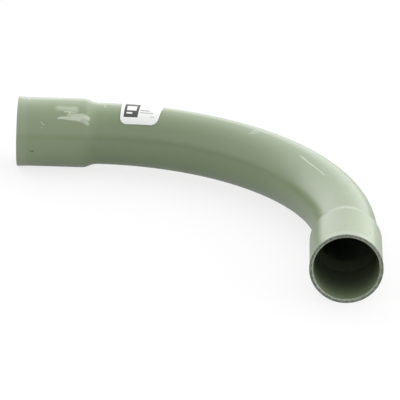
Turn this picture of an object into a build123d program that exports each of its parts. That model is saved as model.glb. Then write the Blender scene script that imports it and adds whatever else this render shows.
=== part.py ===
"""Right-angle PVC conduit elbow, belled into a socket at each end, with the label stuck on its bend."""
import os
from math import degrees

from build123d import *

os.makedirs("parts", exist_ok=True)

# Conduit, trade size 2 in Schedule 40 rigid PVC
pipe_diameter = 60.33
pipe_wall = 3.91

# Bend, to the standard radius of the pipe's axis
bend_radius = 241.3
bend_angle = 90.0

# Bells, the pipe ends expanded to slip over the next conduit
socket_clearance = 0.19
bell_wall = 3.6
shoulder_length = 16.0
shoulder_hollow = 0.62
socket_length = 54.0
mouth_length = 10.0
mouth_flare = 0.5
rim_bevel = 1.2
rim_break = 0.4

# Label, a printed film wrapped over the top of the bend near one bell
label_length = 40.8
label_wrap = 49.5
label_corner = 7.4
label_thickness = 0.18
label_glue = 0.15
label_distance = 42.6
label_skew = 2.0
label_strip_count = 36

# Sizes that follow
pipe_radius = pipe_diameter / 2
bore_radius = pipe_radius - pipe_wall
socket_radius = pipe_radius + socket_clearance
bell_radius = socket_radius + bell_wall
mouth_radius = bell_radius + mouth_flare
mouth_inner = mouth_radius - bell_wall
socket_end = shoulder_length + socket_length
leg_length = socket_end + mouth_length

# Frame: the elbow lies flat on the rims of its bells, the origin on the floor in the middle of its box.
# One leg runs to -X and the other to -Y.
box_shift = (bend_radius + mouth_radius - leg_length) / 2
bend_centre = Vector(-box_shift, -box_shift, mouth_radius)
bend_axis = Axis(bend_centre, (0, 0, -1))
leg_start = bend_centre + Vector(0, bend_radius, 0)
leg_plane = Plane(leg_start, x_dir=(-1, 0, 0), z_dir=(0, 1, 0))


def bend_plane(angle, origin_radius=bend_radius):
    """The plane square to the bend at an angle from the leg on -X, its x pointing up."""
    around = Vector(0, origin_radius, 0).rotate(Axis.Z, -angle)
    return Plane(bend_centre + around, x_dir=(0, 0, 1), z_dir=Vector(1, 0, 0).rotate(Axis.Z, -angle))


def shoulder(start, end):
    """Two arcs that rise from the pipe to the bell, level at both ends and tighter at the bell."""
    meeting = start + (end - start) * shoulder_hollow
    TangentArc(start, meeting, tangent=(1, 0))
    TangentArc(end, meeting, tangent=(-1, 0))


# Elbow: one hollow piece, the bend with a belled leg at each end
with BuildPart() as elbow:
    with BuildSketch(bend_plane(0)):
        Circle(pipe_radius)
        Circle(bore_radius, mode=Mode.SUBTRACT)
    revolve(axis=bend_axis, revolution_arc=bend_angle)

    # Wall of the leg from the bend out to the mouth and back along the inside. The mouth flares, and its cut
    # end is eased outside and bevelled inside so that a conduit starts easily. The shoulder is rounded outside,
    # and inside it is the plain cone that stops the conduit.
    with BuildSketch(leg_plane):
        with BuildLine():
            shoulder(Vector(0, pipe_radius), Vector(shoulder_length, bell_radius))
            Polyline(
                (shoulder_length, bell_radius),
                (socket_end, bell_radius),
                (leg_length - rim_break, mouth_radius),
                (leg_length, mouth_radius - rim_break),
                (leg_length, mouth_inner + rim_bevel),
                (leg_length - rim_bevel, mouth_inner),
                (socket_end, socket_radius),
                (shoulder_length, socket_radius),
                (0, bore_radius),
                (0, pipe_radius),
            )
        make_face()
    leg = revolve(axis=Axis(leg_start, (-1, 0, 0)))
    mirror(leg, about=bend_plane(bend_angle / 2, 0))

elbow.part.label = "elbow"
export_step(elbow.part, "parts/elbow.step")

# Label: its outline covers the bend between two sections of the pipe, with rounded corners, a little askew
label_turn = degrees(label_distance / bend_radius)
label_sweep = degrees(label_length / bend_radius)
label_span = degrees(label_wrap / pipe_radius)
label_upright = Axis(bend_plane(label_turn).origin, (0, 0, 1))

with BuildPart() as label_outline:
    with BuildSketch(bend_plane(label_turn - label_sweep / 2)):
        with BuildLine():
            under = CenterArc((0, 0), bore_radius, -label_span / 2, label_span)
            over = CenterArc((0, 0), mouth_radius, -label_span / 2, label_span)
            Line(under @ 0, over @ 0)
            Line(under @ 1, over @ 1)
        make_face()
    revolve(axis=bend_axis, revolution_arc=label_sweep)
    fillet(label_outline.edges().filter_by(GeomType.LINE), label_corner)

# The film follows the outside of the bend on its layer of glue, folded round the pipe in narrow flat strips,
# and is kept where the outline covers it
label_under = pipe_radius + label_glue
with BuildPart() as label:
    with BuildSketch(bend_plane(0)):
        RegularPolygon(label_under + label_thickness, label_strip_count, major_radius=False)
        RegularPolygon(label_under, label_strip_count, major_radius=False, mode=Mode.SUBTRACT)
    revolve(axis=bend_axis, revolution_arc=bend_angle)
    add(label_outline.part.rotate(label_upright, label_skew), mode=Mode.INTERSECT)

label.part.label = "label"
export_step(label.part, "parts/label.step")
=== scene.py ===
"""The conduit elbow's finish, its label, a plain studio and the camera. Metres, in the part's own frame."""
from math import cos, pi, radians, sin, sqrt
from types import SimpleNamespace

import bpy
from mathutils import Matrix, Vector


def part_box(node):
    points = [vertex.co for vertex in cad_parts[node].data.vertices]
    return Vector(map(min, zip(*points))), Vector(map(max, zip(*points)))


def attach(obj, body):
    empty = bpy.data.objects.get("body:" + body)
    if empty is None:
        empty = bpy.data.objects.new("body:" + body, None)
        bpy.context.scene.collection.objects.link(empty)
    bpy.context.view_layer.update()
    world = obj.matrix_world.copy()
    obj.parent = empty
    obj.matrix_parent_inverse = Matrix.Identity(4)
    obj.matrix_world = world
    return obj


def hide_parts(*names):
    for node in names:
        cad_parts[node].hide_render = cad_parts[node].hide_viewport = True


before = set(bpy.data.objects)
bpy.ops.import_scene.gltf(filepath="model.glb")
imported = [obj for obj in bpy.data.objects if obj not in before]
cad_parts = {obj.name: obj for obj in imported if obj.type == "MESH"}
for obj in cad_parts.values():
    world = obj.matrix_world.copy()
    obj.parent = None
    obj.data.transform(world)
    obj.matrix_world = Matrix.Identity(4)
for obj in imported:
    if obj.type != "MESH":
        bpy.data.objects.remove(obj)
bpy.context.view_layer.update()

# Elbow, as the solid has it: both legs are level, one to -X and one to -Y
BEND_RADIUS = 0.2413
PIPE_RADIUS = 0.030165
BORE_RADIUS = 0.026255
LEG_LENGTH = 0.080
elbow_low, elbow_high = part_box("elbow")
mouth_radius = (elbow_high.z - elbow_low.z) / 2
bend_centre = elbow_low + Vector((LEG_LENGTH, LEG_LENGTH, mouth_radius))
bend_length = BEND_RADIUS * pi / 2

# Bells: their wall, the shoulder that rises to them, the flared mouth, its inner bevel and its eased edge
BELL_WALL = 0.0036
SHOULDER_LENGTH = 0.016
MOUTH_LENGTH = 0.010
RIM_BEVEL = 0.0012
RIM_BREAK = 0.0004

# Where one look passes into the next: as shares of the shoulder, the mouth and the bevel, and then in metres
# through the wall, over the cut end, and down the inside as the painted shade deepens into the bore
BELL_FADE = (0.4, 1.2)
FLARE_FADE = (1.4, 0.5)
BEVEL_FADE = (1.1, 0.8)
WALL_FADE = 0.0003
CUT_FADE = 0.0001
INSIDE_SHADE_FADE = 0.045

# Label on the bend, placed along the pipe's axis from the start of the bend and round the pipe from its top.
# Its underside and top are heights over the pipe, and grime with a painted shadow reaches out from its edge.
LABEL_LENGTH = 0.0408
LABEL_WRAP = 0.0495
LABEL_CORNER = 0.0074
LABEL_DISTANCE = 0.0426
LABEL_SKEW = radians(2.0)
LABEL_UNDER = 0.00004
LABEL_OVER = 0.00033
LABEL_COLUMNS = 64
LABEL_ROWS = 48
LABEL_CREASE = radians(40)
GRIME_AND_SHADOW_REACH = 0.0025

# Print on the label: left, right, low and high of each field in millimetres from the label's corner
MILLIMETRES = 1000.0
PANEL = (3.4, 18.2, 16.5, 41.8)
BLANKS = ((6.0, 15.6, 24.0, 32.5), (6.0, 12.0, 35.2, 37.4))
STRONG_BAR = (19.4, 29.2, 30.8, 32.4)
FAINT_BARS = ((19.6, 29.6, 22.6, 24.6), (19.8, 33.6, 34.2, 36.2), (31.4, 35.6, 39.6, 40.9))
PRINT_FADE = 0.12

# Marks on the outside in millimetres: from and to, each along the pipe and round it, the half-width at both,
# how softly the edge fades, and then the strength
SCUFFS_AND_GLINTS = (
    ((-39.5, 14.4), (-23.5, 15.0), (2.6, 3.0), 2.4, 0.52),
    ((-26.0, 17.0), (-21.5, 17.6), (1.6, 1.6), 1.6, 0.46),
    ((-34.0, 18.8), (-28.6, 18.7), (0.5, 0.6), 0.4, 0.90),
    ((-28.8, 15.8), (-28.2, 15.9), (0.5, 0.5), 0.6, 0.70),
    ((-29.0, 20.6), (-26.6, 18.8), (0.8, 0.6), 0.5, 0.95),
    ((-26.0, 19.6), (-22.2, 20.0), (0.8, 0.6), 0.6, 0.60),
    ((-39.4, 26.4), (-35.0, 26.2), (0.7, 0.8), 0.6, 1.00),
    ((-37.0, 25.8), (-19.5, 26.0), (0.9, 3.2), 0.9, 0.84),
    ((-30.0, 22.6), (-15.5, 23.0), (0.8, 2.6), 1.2, 0.70),
    ((-16.4, 24.6), (-11.0, 24.0), (2.8, 2.6), 1.0, 0.74),
    ((-12.0, 21.6), (-9.8, 24.4), (0.8, 0.9), 0.6, 0.80),
    ((-16.6, 28.0), (-11.4, 29.4), (1.8, 2.2), 1.0, 0.58),
    ((-56.2, 30.4), (-53.6, 34.0), (0.2, 0.3), 0.3, 1.00),
    ((-55.2, 36.6), (-54.8, 37.4), (0.4, 0.3), 0.5, 0.60),
    # Painted highlight at the top of the left bell, where its flare begins
    ((-70.4, -2.2), (-68.4, 1.0), (0.4, 0.5), 0.5, 0.80),
    ((5.2, -4.2), (5.8, 4.6), (0.5, 0.8), 0.6, 0.45),
    # Painted highlights on top of the bend: a glint and the pale patch beside it
    ((166.0, 9.0), (172.6, 3.6), (0.6, 1.2), 1.0, 0.45),
    ((166.6, 4.0), (168.6, -2.0), (1.6, 2.6), 1.8, 0.30),
    ((241.2, 7.9), (247.0, 7.6), (0.2, 0.8), 0.5, 0.45),
    ((247.0, 7.6), (261.3, 8.8), (0.8, 0.7), 0.6, 0.70),
    ((261.3, 8.8), (297.0, 7.6), (0.5, 0.3), 0.3, 1.00),
    ((180.0, -62.0), (206.0, -58.0), (0.4, 1.6), 0.9, 0.45),
    ((300.0, -40.0), (318.0, -47.0), (0.3, 0.6), 0.5, 0.60),
    ((-52.0, -70.0), (-36.0, -64.0), (0.8, 2.2), 1.0, 0.45),
    ((412.0, 66.0), (430.0, 60.0), (0.6, 2.0), 1.0, 0.35),
    ((330.0, 58.0), (352.0, 66.0), (0.4, 1.2), 0.8, 0.20),
)
SPECKS = (
    ((-67.4, 60.8), (-64.0, 61.6), (0.2, 0.9), 0.5, 0.85),
    ((434.4, -22.9), (436.2, -22.5), (0.7, 0.6), 0.5, 0.60),
)

# Colours of the elbow, and how much of some of them shows
PVC_DARK = (0.212, 0.282, 0.155)
PVC_PALE = (0.239, 0.315, 0.177)
WARM_TONE = (0.237, 0.288, 0.165)
WARM_SHARE = 0.35
BELL_TONE = (0.277, 0.346, 0.209)
BELL_SHARE = 0.7
# Paler flared mouths: partly the whitening of the stretched PVC, partly a painted reflection
FLARE_WHITENING_AND_REFLECTION = (0.310, 0.366, 0.246)
FLARE_REFLECTION_SHARE = 0.6
# Painted shade inside the bore, deepening away from the mouth
INSIDE_PAINTED_SHADE = (0.065, 0.076, 0.062)
INSIDE_SHADE_SHARE = 0.66
# Grime with a painted shadow along the label's edge
GRIME_AND_SHADOW_TONE = (0.10, 0.12, 0.08)
GRIME_AND_SHADOW_SHARE = 0.3
# Pale scuffs, and the glints painted as highlights
SCUFF_AND_GLINT_TONE = (0.66, 0.71, 0.58)
SPECK_TONE = (0.06, 0.075, 0.045)
CUT_DARK = (0.11, 0.125, 0.095)
CUT_PALE = (0.28, 0.31, 0.25)
# The inner bevel's speckled cut face, painted paler as a highlight where its edge catches the light
BEVEL_HIGHLIGHT_DARK = (0.26, 0.29, 0.22)
BEVEL_HIGHLIGHT_PALE = (0.48, 0.51, 0.43)

# Noise on the elbow: its scale in cells to a metre and its detail, and the range of it that some looks take
MOTTLE = (28.0, 4.0)
WARMTH = (11.0, 2.0)
WARM_RANGE = (0.4, 0.7)
SPECKLE = (700.0, 3.0)
SPECKLE_RANGE = (0.35, 0.65)
SHEEN = (60.0, 4.0)
WAVE = (20.0, 1.0)
RIPPLE = (55.0, 1.0)
PEEL = (900.0, 2.0)

# The edges of marks wander by a noise, shifted in millimetres. Streaks thin the scuffs and painted glints
# and leave at least a share of them. Their noise is drawn out along the pipe, with fewer cells to a metre
# along it than round it.
RAGGED = (420.0, 3.0)
RAGGED_SHIFT = 1.5
STREAKS = (1.0, 4.0)
STREAKS_ALONG = 60.0
STREAKS_ROUND = 900.0
STREAK_RANGE = (0.25, 0.6)
STREAK_LEAST = 0.6

# Relief on the elbow in metres, and its gloss
WAVE_HEIGHT = 0.0008
RIPPLE_HEIGHT = 0.00012
PEEL_HEIGHT = 0.000006
CUT_HEIGHT = 0.00006
PVC_ROUGHNESS = 0.32
SHEEN_ROUGHNESS = 0.10
WORN_ROUGHNESS = 0.25
PVC_SPECULAR = 0.55
PVC_COAT = 0.5
COAT_ROUGHNESS = 0.20

# Colours of the label, its noise in cells to a millimetre, its relief in metres and its gloss
PAPER_DARK = (0.92, 0.93, 0.91)
PAPER_PALE = (0.96, 0.97, 0.95)
INK_DARK = (0.045, 0.046, 0.045)
INK_PALE = (0.085, 0.087, 0.085)
STRONG_TONE = (0.32, 0.33, 0.32)
FAINT_TONE = (0.60, 0.61, 0.60)
FIBRE = (1.4, 4.0)
INK_MOTTLE = (2.5, 3.0)
BUCKLE = (0.25, 3.0)
BUCKLE_HEIGHT = 0.0001
PAPER_ROUGHNESS = 0.40
FIBRE_ROUGHNESS = 0.15

# Camera, fitted to the photograph: where it looks, from how far, its angles, and its lens in millimetres
CAMERA_TARGET = (0.00518, -0.02143, 0.034455)
CAMERA_DISTANCE = 4.4131
CAMERA_AZIMUTH = 0.0102
CAMERA_ELEVATION = 0.3901
CAMERA_ROLL = 0.0264
CAMERA_LENS = 416.51
CAMERA_SENSOR = 36.0
CAMERA_REACH = 50.0

# Light: its level at angles over the elbow, in degrees from the horizon in front to the one behind. The
# front is turned to the left. The level rises towards the right, and towards the upper left, most of all
# behind. The camera sees an even white.
SKY = (
    (2, 0.04), (8, 0.16), (16, 0.72), (28, 0.90), (45, 0.66),
    (70, 0.64), (100, 0.90), (130, 1.48), (155, 1.50), (172, 1.68),
)
SKY_TURN = radians(30)
SKY_LEFT = 1.6
SKY_BEHIND = 0.8
SKY_RIGHT = 0.6
SKY_SEEN = 1.0
WHITE = (1.0, 1.0, 1.0)

# Floor: the tone that it throws back on the elbow, the darker one that takes the shadow where it is seen or
# mirrored, and the light that lifts that one for the camera and in the elbow's gloss
FLOOR_SIZE = 1.6
FLOOR_TONE = 0.70
FLOOR_SHADE = 0.20
FLOOR_SEEN = 0.79
FLOOR_GLOSS = 0.38


class Graph:
    """A node tree and short ways to add to it."""

    MEASURES = ("DOT_PRODUCT", "DISTANCE", "LENGTH")

    def __init__(self, tree):
        self.tree = tree
        tree.nodes.clear()

    def feed(self, socket, value):
        """Link the value if it is a node's output, or else set it. A colour comes without its alpha."""
        if isinstance(value, bpy.types.NodeSocket):
            self.tree.links.new(value, socket)
        elif socket.type == "RGBA":
            socket.default_value = (*value, 1.0)
        else:
            socket.default_value = value

    def node(self, kind, inputs=(), **settings):
        """A new node with its settings made and its inputs fed."""
        made = self.tree.nodes.new("ShaderNode" + kind)
        for name, value in settings.items():
            setattr(made, name, value)
        for key, value in dict(inputs).items():
            self.feed(made.inputs[key], value)
        return made

    def math(self, operation, *values, clamp=False):
        """The result of an operation on plain numbers."""
        made = self.node("Math", enumerate(values), operation=operation, use_clamp=clamp)
        return made.outputs[0]

    def vector_math(self, operation, *values):
        """The result of an operation on vectors, which is a plain number for those that measure."""
        made = self.node("VectorMath", enumerate(values), operation=operation)
        return made.outputs["Value" if operation in self.MEASURES else "Vector"]

    def vector(self, x, y):
        """A vector of two plain numbers."""
        return self.node("CombineXYZ", {"X": x, "Y": y}).outputs[0]

    def parts(self, vector):
        """The three plain numbers of a vector."""
        return self.node("SeparateXYZ", {0: vector}).outputs

    def step(self, value, low, high):
        """0 below low, 1 above high and smooth between; falling where low is over high."""
        inputs = {"Value": value, "From Min": low, "From Max": high}
        made = self.node("MapRange", inputs, interpolation_type="SMOOTHSTEP")
        return made.outputs["Result"]

    def between(self, value, low, high, fade):
        """1 from low to high and 0 beyond, smooth at both ends."""
        rise = self.step(value, low - fade, low + fade)
        fall = self.step(value, high + fade, high - fade)
        return self.math("MULTIPLY", rise, fall)

    def noise(self, place, scale, detail, output="Fac"):
        """Noise over a place, as a plain number or as a colour."""
        inputs = {"Vector": place, "Scale": scale, "Detail": detail}
        return self.node("TexNoise", inputs).outputs[output]

    def blend(self, share, first, second):
        """The first colour, with a share of the second."""
        made = self.node("Mix", {0: share, 6: first, 7: second}, data_type="RGBA")
        return made.outputs[2]

    def any_of(self, *values):
        """The greatest of the values."""
        found = values[0]
        for value in values[1:]:
            found = self.math("MAXIMUM", found, value)
        return found

    def seen(self):
        """1 for what the camera sees, straight or through glass."""
        path = self.node("LightPath").outputs
        return self.any_of(path["Is Camera Ray"], path["Is Transmission Ray"])

    def surface(self, height, inputs):
        """The material's surface, with a relief in metres and the shader's inputs."""
        bump = self.node("Bump", {"Strength": 1.0, "Distance": 1.0, "Height": height})
        shader = self.node("BsdfPrincipled", {"Normal": bump.outputs[0], **inputs})
        self.node("OutputMaterial", {"Surface": shader.outputs[0]})


def new_material(name):
    """A material with an empty node tree."""
    material = bpy.data.materials.new(name)
    material.use_nodes = True
    return material, Graph(material.node_tree)


def new_object(name, data):
    """An object of the scene with the data given."""
    made = bpy.data.objects.new(name, data)
    bpy.context.scene.collection.objects.link(made)
    return made


def tube_coordinates(graph):
    """Where a point lies: along the pipe from the start of the bend, outward from the bend on either leg, by
    its arc round the pipe from the top, and by its radius from the pipe's axis."""
    place = graph.node("TexCoord").outputs["Object"]
    x, y, z = graph.parts(graph.vector_math("SUBTRACT", place, bend_centre))
    bend_x = graph.math("MAXIMUM", x, 0.0)
    bend_y = graph.math("MAXIMUM", y, 0.0)
    turn = graph.math("ARCTAN2", bend_x, bend_y)
    reach = graph.vector_math("LENGTH", graph.vector(bend_x, bend_y))
    legs = graph.math("SUBTRACT", graph.math("MINIMUM", x, 0.0), graph.math("MINIMUM", y, 0.0))
    along = graph.math("MULTIPLY_ADD", turn, BEND_RADIUS, legs)
    before = graph.math("MULTIPLY", along, -1.0)
    beyond = graph.math("SUBTRACT", along, bend_length)
    outward = graph.math("MAXIMUM", before, beyond)
    inward = graph.math("SUBTRACT", BEND_RADIUS, reach)
    radius = graph.vector_math("LENGTH", graph.vector(inward, z))
    arc = graph.math("MULTIPLY", graph.math("ARCTAN2", inward, z), radius)
    return SimpleNamespace(place=place, along=along, outward=outward, arc=arc, radius=radius)


def wall_parts(graph, tube):
    """Where a point is inside or outside the wall, on a bell, on its flare, its cut end and its bevel."""
    middle_pipe = (PIPE_RADIUS + BORE_RADIUS) / 2
    middle_bell = mouth_radius - BELL_WALL / 2
    into_bell = graph.math("DIVIDE", tube.outward, SHOULDER_LENGTH, clamp=True)
    middle = graph.math("MULTIPLY_ADD", into_bell, middle_bell - middle_pipe, middle_pipe)
    inside = graph.step(graph.math("SUBTRACT", tube.radius, middle), WALL_FADE, -WALL_FADE)
    bell = graph.step(tube.outward, *(SHOULDER_LENGTH * share for share in BELL_FADE))
    flare = graph.step(tube.outward, *(LEG_LENGTH - MOUTH_LENGTH * share for share in FLARE_FADE))
    at_end = graph.step(tube.outward, LEG_LENGTH - RIM_BEVEL, LEG_LENGTH - CUT_FADE)
    off_edge = graph.step(tube.radius, mouth_radius - CUT_FADE, mouth_radius - RIM_BREAK)
    bevel_radius = mouth_radius - BELL_WALL + RIM_BEVEL
    on_bevel = graph.step(tube.radius, bevel_radius + WALL_FADE, bevel_radius - WALL_FADE)
    near_end = graph.step(tube.outward, *(LEG_LENGTH - RIM_BEVEL * share for share in BEVEL_FADE))
    return SimpleNamespace(
        inside=inside,
        outside=graph.math("SUBTRACT", 1.0, inside),
        bell=bell,
        flare=flare,
        cut=graph.math("MULTIPLY", at_end, off_edge),
        bevel=graph.math("MULTIPLY", on_bevel, near_end),
    )


def stroke(graph, spot, start, end, widths, fade):
    """1 in a stroke from start to end whose half-width changes on the way, fading out at its edge."""
    run = Vector((*end, 0.0)) - Vector((*start, 0.0))
    offset = graph.vector_math("SUBTRACT", spot, (*start, 0.0))
    share = graph.vector_math("DOT_PRODUCT", offset, run / run.length_squared)
    share = graph.node("Clamp", {"Value": share}).outputs[0]
    nearest = graph.node("VectorMath", {0: run, "Scale": share}, operation="SCALE").outputs[0]
    gap = graph.vector_math("DISTANCE", offset, nearest)
    width = graph.math("MULTIPLY_ADD", share, widths[1] - widths[0], widths[0])
    return graph.step(graph.math("SUBTRACT", gap, width), fade, -fade)


def strokes(graph, spot, marks):
    """The strongest of the marks at each spot."""
    found = [graph.math("MULTIPLY", stroke(graph, spot, *mark), strength) for *mark, strength in marks]
    return graph.any_of(*found)


def worn_marks_and_glints(graph, tube, wall):
    """Scuffs, painted glints and specks on the outside, all ragged, and the scuffs and glints streaked along
    the pipe.
    """
    unrolled = graph.vector(tube.along, tube.arc)
    ragged = graph.noise(tube.place, *RAGGED, output="Color")
    ragged = graph.vector_math("SUBTRACT", ragged, (0.5, 0.5, 0.5))
    spot = graph.vector_math("MULTIPLY", unrolled, (MILLIMETRES, MILLIMETRES, 0.0))
    spot = graph.vector_math("MULTIPLY_ADD", ragged, (RAGGED_SHIFT, RAGGED_SHIFT, 0.0), spot)
    drawn_out = graph.vector_math("MULTIPLY", unrolled, (STREAKS_ALONG, STREAKS_ROUND, 0.0))
    streaks = graph.step(graph.noise(drawn_out, *STREAKS), *STREAK_RANGE)
    streaks = graph.math("MULTIPLY_ADD", streaks, 1.0 - STREAK_LEAST, STREAK_LEAST)
    scuff_and_glint = graph.math("MULTIPLY", strokes(graph, spot, SCUFFS_AND_GLINTS), streaks)
    scuff_and_glint = graph.math("MULTIPLY", scuff_and_glint, wall.outside)
    speck = graph.math("MULTIPLY", strokes(graph, spot, SPECKS), wall.outside)
    return scuff_and_glint, speck


def label_grime_and_shadow(graph, tube, wall):
    """Grime and a painted shadow on the outside, along the label's rounded outline."""
    beside = graph.vector(graph.math("SUBTRACT", tube.along, LABEL_DISTANCE), tube.arc)
    corner = (LABEL_LENGTH / 2 - LABEL_CORNER, LABEL_WRAP / 2 - LABEL_CORNER, 0.0)
    beside = graph.vector_math("SUBTRACT", graph.vector_math("ABSOLUTE", beside), corner)
    beside = graph.vector_math("LENGTH", graph.vector_math("MAXIMUM", beside, (0.0, 0.0, 0.0)))
    # Grime and a painted shadow, fading out from the label's edge
    grime_and_shadow = graph.step(beside, LABEL_CORNER + GRIME_AND_SHADOW_REACH, LABEL_CORNER)
    return graph.math("MULTIPLY", grime_and_shadow, wall.outside)


def pvc_tone(graph, tube, wall):
    """The mottled colour of the PVC, paler at the bells and more at their flared mouths, partly as a painted
    reflection, darker with painted shade deepening inside the bore, and grimy with a painted shadow round
    the label.
    """
    tone = graph.blend(graph.noise(tube.place, *MOTTLE), PVC_DARK, PVC_PALE)
    warm = graph.step(graph.noise(tube.place, *WARMTH), *WARM_RANGE)
    # Painted shade: the bore darkens with depth from the mouth
    shade_depth = graph.step(tube.outward, LEG_LENGTH, LEG_LENGTH - INSIDE_SHADE_FADE)
    layers = (
        (warm, WARM_SHARE, WARM_TONE),
        (wall.bell, BELL_SHARE, BELL_TONE),
        # The flare's paler tone, partly a painted reflection
        (wall.flare, FLARE_REFLECTION_SHARE, FLARE_WHITENING_AND_REFLECTION),
        (graph.math("MULTIPLY", wall.inside, shade_depth), INSIDE_SHADE_SHARE, INSIDE_PAINTED_SHADE),
        (label_grime_and_shadow(graph, tube, wall), GRIME_AND_SHADOW_SHARE, GRIME_AND_SHADOW_TONE),
    )
    for where, share, layer in layers:
        tone = graph.blend(graph.math("MULTIPLY", where, share), tone, layer)
    return tone


def pvc_material():
    """Worn PVC, with scuffs, painted glints and specks on the outside and a rough speckle on its cut ends.
    """
    material, graph = new_material("pvc_grey_green")
    tube = tube_coordinates(graph)
    wall = wall_parts(graph, tube)
    scuff_and_glint, speck = worn_marks_and_glints(graph, tube, wall)
    speckle = graph.step(graph.noise(tube.place, *SPECKLE), *SPECKLE_RANGE)

    tone = pvc_tone(graph, tube, wall)
    # Pale scuffs and painted highlights from the table of marks
    tone = graph.blend(scuff_and_glint, tone, SCUFF_AND_GLINT_TONE)
    tone = graph.blend(speck, tone, SPECK_TONE)
    tone = graph.blend(wall.cut, tone, graph.blend(speckle, CUT_DARK, CUT_PALE))
    # The cut bevel, painted paler as a highlight
    tone = graph.blend(wall.bevel, tone, graph.blend(speckle, BEVEL_HIGHLIGHT_DARK, BEVEL_HIGHLIGHT_PALE))

    rough = graph.math("MULTIPLY_ADD", graph.noise(tube.place, *SHEEN), SHEEN_ROUGHNESS, PVC_ROUGHNESS)
    rough = graph.math("MULTIPLY_ADD", graph.any_of(scuff_and_glint, wall.cut), WORN_ROUGHNESS, rough)

    height = graph.math("MULTIPLY", graph.noise(tube.place, *WAVE), WAVE_HEIGHT)
    height = graph.math("MULTIPLY_ADD", graph.noise(tube.place, *RIPPLE), RIPPLE_HEIGHT, height)
    height = graph.math("MULTIPLY_ADD", graph.noise(tube.place, *PEEL), PEEL_HEIGHT, height)
    height = graph.math("MULTIPLY_ADD", graph.math("MULTIPLY", wall.cut, speckle), CUT_HEIGHT, height)
    graph.surface(height, {
        "Base Color": tone,
        "Roughness": rough,
        "Specular IOR Level": PVC_SPECULAR,
        "Coat Weight": PVC_COAT,
        "Coat Roughness": COAT_ROUGHNESS,
    })
    return material


def label_material():
    """Paper with a dark panel, a pale field and a bar left blank in it, and grey bars beside it."""
    material, graph = new_material("label_paper")
    size = (LABEL_LENGTH * MILLIMETRES, LABEL_WRAP * MILLIMETRES, 1.0)
    place = graph.vector_math("MULTIPLY", graph.node("TexCoord").outputs["UV"], size)
    x, y, z = graph.parts(place)

    def field(left, right, low, high):
        """1 in a rectangle of the label."""
        across = graph.between(x, left, right, PRINT_FADE)
        upward = graph.between(y, low, high, PRINT_FADE)
        return graph.math("MULTIPLY", across, upward)

    blanks = graph.any_of(*(field(*blank) for blank in BLANKS))
    panel = graph.math("SUBTRACT", field(*PANEL), blanks, clamp=True)
    faint = graph.any_of(*(field(*bar) for bar in FAINT_BARS))
    fibre = graph.noise(place, *FIBRE)
    paper = graph.blend(fibre, PAPER_DARK, PAPER_PALE)
    ink = graph.blend(graph.noise(place, *INK_MOTTLE), INK_DARK, INK_PALE)
    tone = graph.blend(panel, paper, ink)
    tone = graph.blend(field(*STRONG_BAR), tone, STRONG_TONE)
    tone = graph.blend(faint, tone, FAINT_TONE)
    rough = graph.math("MULTIPLY_ADD", fibre, FIBRE_ROUGHNESS, PAPER_ROUGHNESS)
    height = graph.math("MULTIPLY", graph.noise(place, *BUCKLE), BUCKLE_HEIGHT)
    graph.surface(height, {"Base Color": tone, "Roughness": rough})
    return material


def on_bend(along, around, lift):
    """A point over the pipe's surface in the bend."""
    turn = along / BEND_RADIUS
    reach = BEND_RADIUS - (PIPE_RADIUS + lift) * sin(around)
    height = (PIPE_RADIUS + lift) * cos(around)
    return bend_centre + Vector((reach * sin(turn), reach * cos(turn), height))


def skewed(point, lift):
    """The point turned with the label about the upright through its middle, and set back over the pipe."""
    upright = on_bend(LABEL_DISTANCE, 0.0, 0.0)
    turned = upright + Matrix.Rotation(LABEL_SKEW, 3, "Z") @ (point - upright)
    flat = Vector((turned.x - bend_centre.x, turned.y - bend_centre.y))
    inward = BEND_RADIUS - flat.length
    turned.z = bend_centre.z + sqrt((PIPE_RADIUS + lift) ** 2 - inward ** 2)
    return turned


def label_grid():
    """Places on the flat label from its middle, column by column, the columns closer in its rounded ends."""
    straight = LABEL_LENGTH / 2 - LABEL_CORNER
    places = []
    for column in range(LABEL_COLUMNS + 1):
        length = sin(pi / 2 * (2 * column / LABEL_COLUMNS - 1)) * LABEL_LENGTH / 2
        into_corner = max(abs(length) - straight, 0.0)
        rounding = sqrt(max(LABEL_CORNER ** 2 - into_corner ** 2, 0.0))
        half_wrap = LABEL_WRAP / 2 - LABEL_CORNER + rounding
        for row in range(LABEL_ROWS + 1):
            places.append((length, half_wrap * (2 * row / LABEL_ROWS - 1)))
    return places


def label_faces():
    """The film's top and underside, and the edge that closes it, as points of two layers of the grid."""
    stride = LABEL_ROWS + 1
    layer = stride * (LABEL_COLUMNS + 1)
    faces = []
    for column in range(LABEL_COLUMNS):
        for row in range(LABEL_ROWS):
            corner = column * stride + row
            top = (corner, corner + stride, corner + stride + 1, corner + 1)
            faces.append(top)
            faces.append(tuple(layer + point for point in reversed(top)))
    edge = [column * stride for column in range(LABEL_COLUMNS + 1)]
    edge += [LABEL_COLUMNS * stride + row for row in range(1, LABEL_ROWS + 1)]
    edge += [column * stride + LABEL_ROWS for column in reversed(range(LABEL_COLUMNS))]
    edge += reversed(range(1, LABEL_ROWS))
    for first, second in zip(edge, edge[1:] + edge[:1]):
        faces.append((second, first, layer + first, layer + second))
    return faces


def make_label():
    """A thin closed film over the pipe, its corners rounded."""
    grid = label_grid()
    verts = []
    for lift in (LABEL_OVER, LABEL_UNDER):
        for length, wrap in grid:
            point = on_bend(LABEL_DISTANCE + length, wrap / PIPE_RADIUS, lift)
            verts.append(skewed(point, lift))
    mesh = bpy.data.meshes.new("printed_label")
    mesh.from_pydata(verts, [], label_faces())
    flat = mesh.uv_layers.new(name="flat").uv
    for loop in mesh.loops:
        length, wrap = grid[loop.vertex_index % len(grid)]
        flat[loop.index].vector = (length / LABEL_LENGTH + 0.5, wrap / LABEL_WRAP + 0.5)
    mesh.shade_smooth()
    mesh.set_sharp_from_angle(angle=LABEL_CREASE)
    return new_object("printed_label", mesh)


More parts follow.
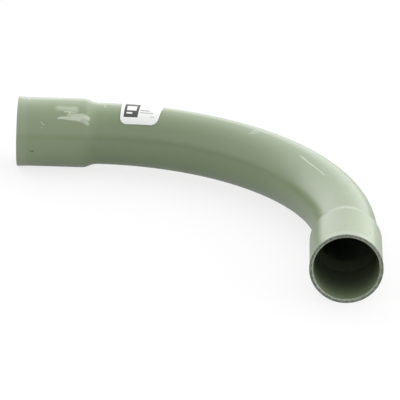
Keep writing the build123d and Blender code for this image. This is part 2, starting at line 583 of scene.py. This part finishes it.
def floor_material():
    """A pale floor that keeps the shadow, brighter to the camera than in the elbow's own gloss."""
    material, graph = new_material("floor_pale")
    seen = graph.seen()
    mirrored = graph.node("LightPath").outputs["Is Glossy Ray"]
    shaded = graph.any_of(seen, mirrored)
    tone = graph.math("MULTIPLY_ADD", shaded, FLOOR_SHADE - FLOOR_TONE, FLOOR_TONE)
    lift = graph.math("MULTIPLY", seen, FLOOR_SEEN)
    lift = graph.math("MULTIPLY_ADD", mirrored, FLOOR_GLOSS, lift)
    diffuse = graph.node("BsdfDiffuse", {"Color": tone})
    light = graph.node("Emission", {"Strength": lift})
    both = graph.node("AddShader", {0: diffuse.outputs[0], 1: light.outputs[0]})
    graph.node("OutputMaterial", {"Surface": both.outputs[0]})
    return material


def make_floor():
    """The square floor that the elbow lies on."""
    half = FLOOR_SIZE / 2
    corners = [(-half, -half, 0.0), (half, -half, 0.0), (half, half, 0.0), (-half, half, 0.0)]
    mesh = bpy.data.meshes.new("floor")
    mesh.from_pydata(corners, [], [(0, 1, 2, 3)])
    mesh.materials.append(floor_material())
    floor = new_object("floor", mesh)
    floor.location.z = elbow_low.z


def sky_level(graph):
    """The level of the light from each direction."""
    x, y, z = graph.parts(graph.node("TexCoord").outputs["Generated"])
    upward = graph.math("MAXIMUM", z, 0.0)
    front = graph.math("MULTIPLY_ADD", x, -sin(SKY_TURN), graph.math("MULTIPLY", y, -cos(SKY_TURN)))
    turned = graph.math("ARCTAN2", upward, front)
    ramp = graph.node("ValToRGB", {"Fac": graph.math("DIVIDE", turned, pi)})
    peak = max(level for angle, level in SKY)
    stops = ramp.color_ramp.elements
    while len(stops) < len(SKY):
        stops.new(1.0)
    for stop, (angle, level) in zip(stops, SKY):
        stop.position = radians(angle) / pi
        stop.color = (level / peak, level / peak, level / peak, 1.0)
    ramp.color_ramp.interpolation = "EASE"
    over = graph.math("MULTIPLY", ramp.outputs["Color"], peak)
    right = graph.math("POWER", graph.math("MAXIMUM", x, 0.0), 2.0)
    behind = graph.math("MULTIPLY_ADD", y, SKY_BEHIND, 1.0)
    left = graph.math("MULTIPLY", graph.math("MINIMUM", x, 0.0), behind)
    left = graph.math("MULTIPLY", graph.math("MULTIPLY", left, left), upward)
    sideways = graph.math("MULTIPLY_ADD", right, SKY_RIGHT, 1.0)
    sideways = graph.math("MULTIPLY_ADD", left, SKY_LEFT, sideways)
    return graph.math("MULTIPLY", over, sideways)


def make_world():
    """The studio's light, which the camera sees as an even white."""
    world = bpy.data.worlds.new("studio")
    world.use_nodes = True
    bpy.context.scene.world = world
    graph = Graph(world.node_tree)
    strength = graph.node("Mix", {0: graph.seen(), 2: sky_level(graph), 3: SKY_SEEN}).outputs[0]
    background = graph.node("Background", {"Color": WHITE, "Strength": strength})
    graph.node("OutputWorld", {"Surface": background.outputs[0]})


def make_camera():
    """The camera, standing off from its target and rolled a little."""
    data = bpy.data.cameras.new("camera")
    data.sensor_width = CAMERA_SENSOR
    data.sensor_fit = "HORIZONTAL"
    data.lens = CAMERA_LENS
    data.clip_end = CAMERA_REACH
    level = cos(CAMERA_ELEVATION)
    forward = Vector((-sin(CAMERA_AZIMUTH) * level, cos(CAMERA_AZIMUTH) * level, -sin(CAMERA_ELEVATION)))
    side = Vector((cos(CAMERA_AZIMUTH), sin(CAMERA_AZIMUTH), 0.0))
    upward = side.cross(forward)
    right = side * cos(CAMERA_ROLL) + upward * sin(CAMERA_ROLL)
    up = right.cross(forward)
    turn = Matrix((right, up, -forward)).transposed().to_4x4()
    camera = new_object("camera", data)
    camera.matrix_world = Matrix.Translation(Vector(CAMERA_TARGET) - forward * CAMERA_DISTANCE) @ turn
    bpy.context.scene.camera = camera


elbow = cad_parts["elbow"]
elbow.material_slots[0].material = pvc_material()
label = make_label()
label.data.materials.append(label_material())
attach(label, "root")
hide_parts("label")
make_floor()
make_world()
make_camera()
bpy.context.scene.view_settings.view_transform = "Standard"
